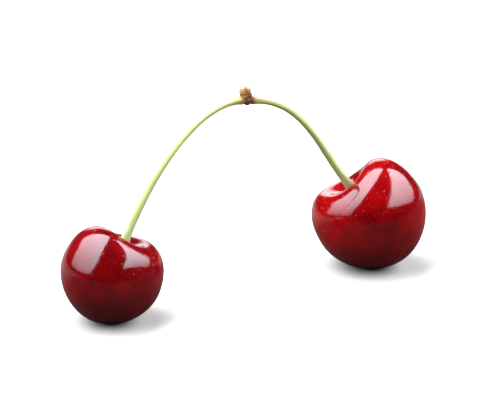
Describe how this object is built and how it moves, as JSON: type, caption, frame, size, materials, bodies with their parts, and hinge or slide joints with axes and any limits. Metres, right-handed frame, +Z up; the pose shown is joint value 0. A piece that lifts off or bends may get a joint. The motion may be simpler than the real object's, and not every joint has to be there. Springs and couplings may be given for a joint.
{
  "type": "cherry",
  "caption": "Pair of sweet cherries joined by their stems at a small woody knot, resting as picked, for fruit bowls, table scenes and food displays.",
  "frame": {"origin": "on the resting surface, at the middle of the bounding box seen from above", "axes": "+X runs from the small fruit towards the large one, -Y is the front, +Z is up"},
  "size_m": [0.0829, 0.0561, 0.0486],
  "materials": {
    "red_skin": "glossy ripe red skin",
    "dark_skin": "glossy ripe dark red skin",
    "green_stem": "satin fresh green stem",
    "brown_wood": "dry matte bark and bud scales"
  },
  "bodies": {
    "root": {"fruit_large": "red_skin", "fruit_small": "dark_skin", "stem_large": "green_stem", "stem_small": "green_stem", "spur_knot": "brown_wood"}
  },
  "joints": []
}
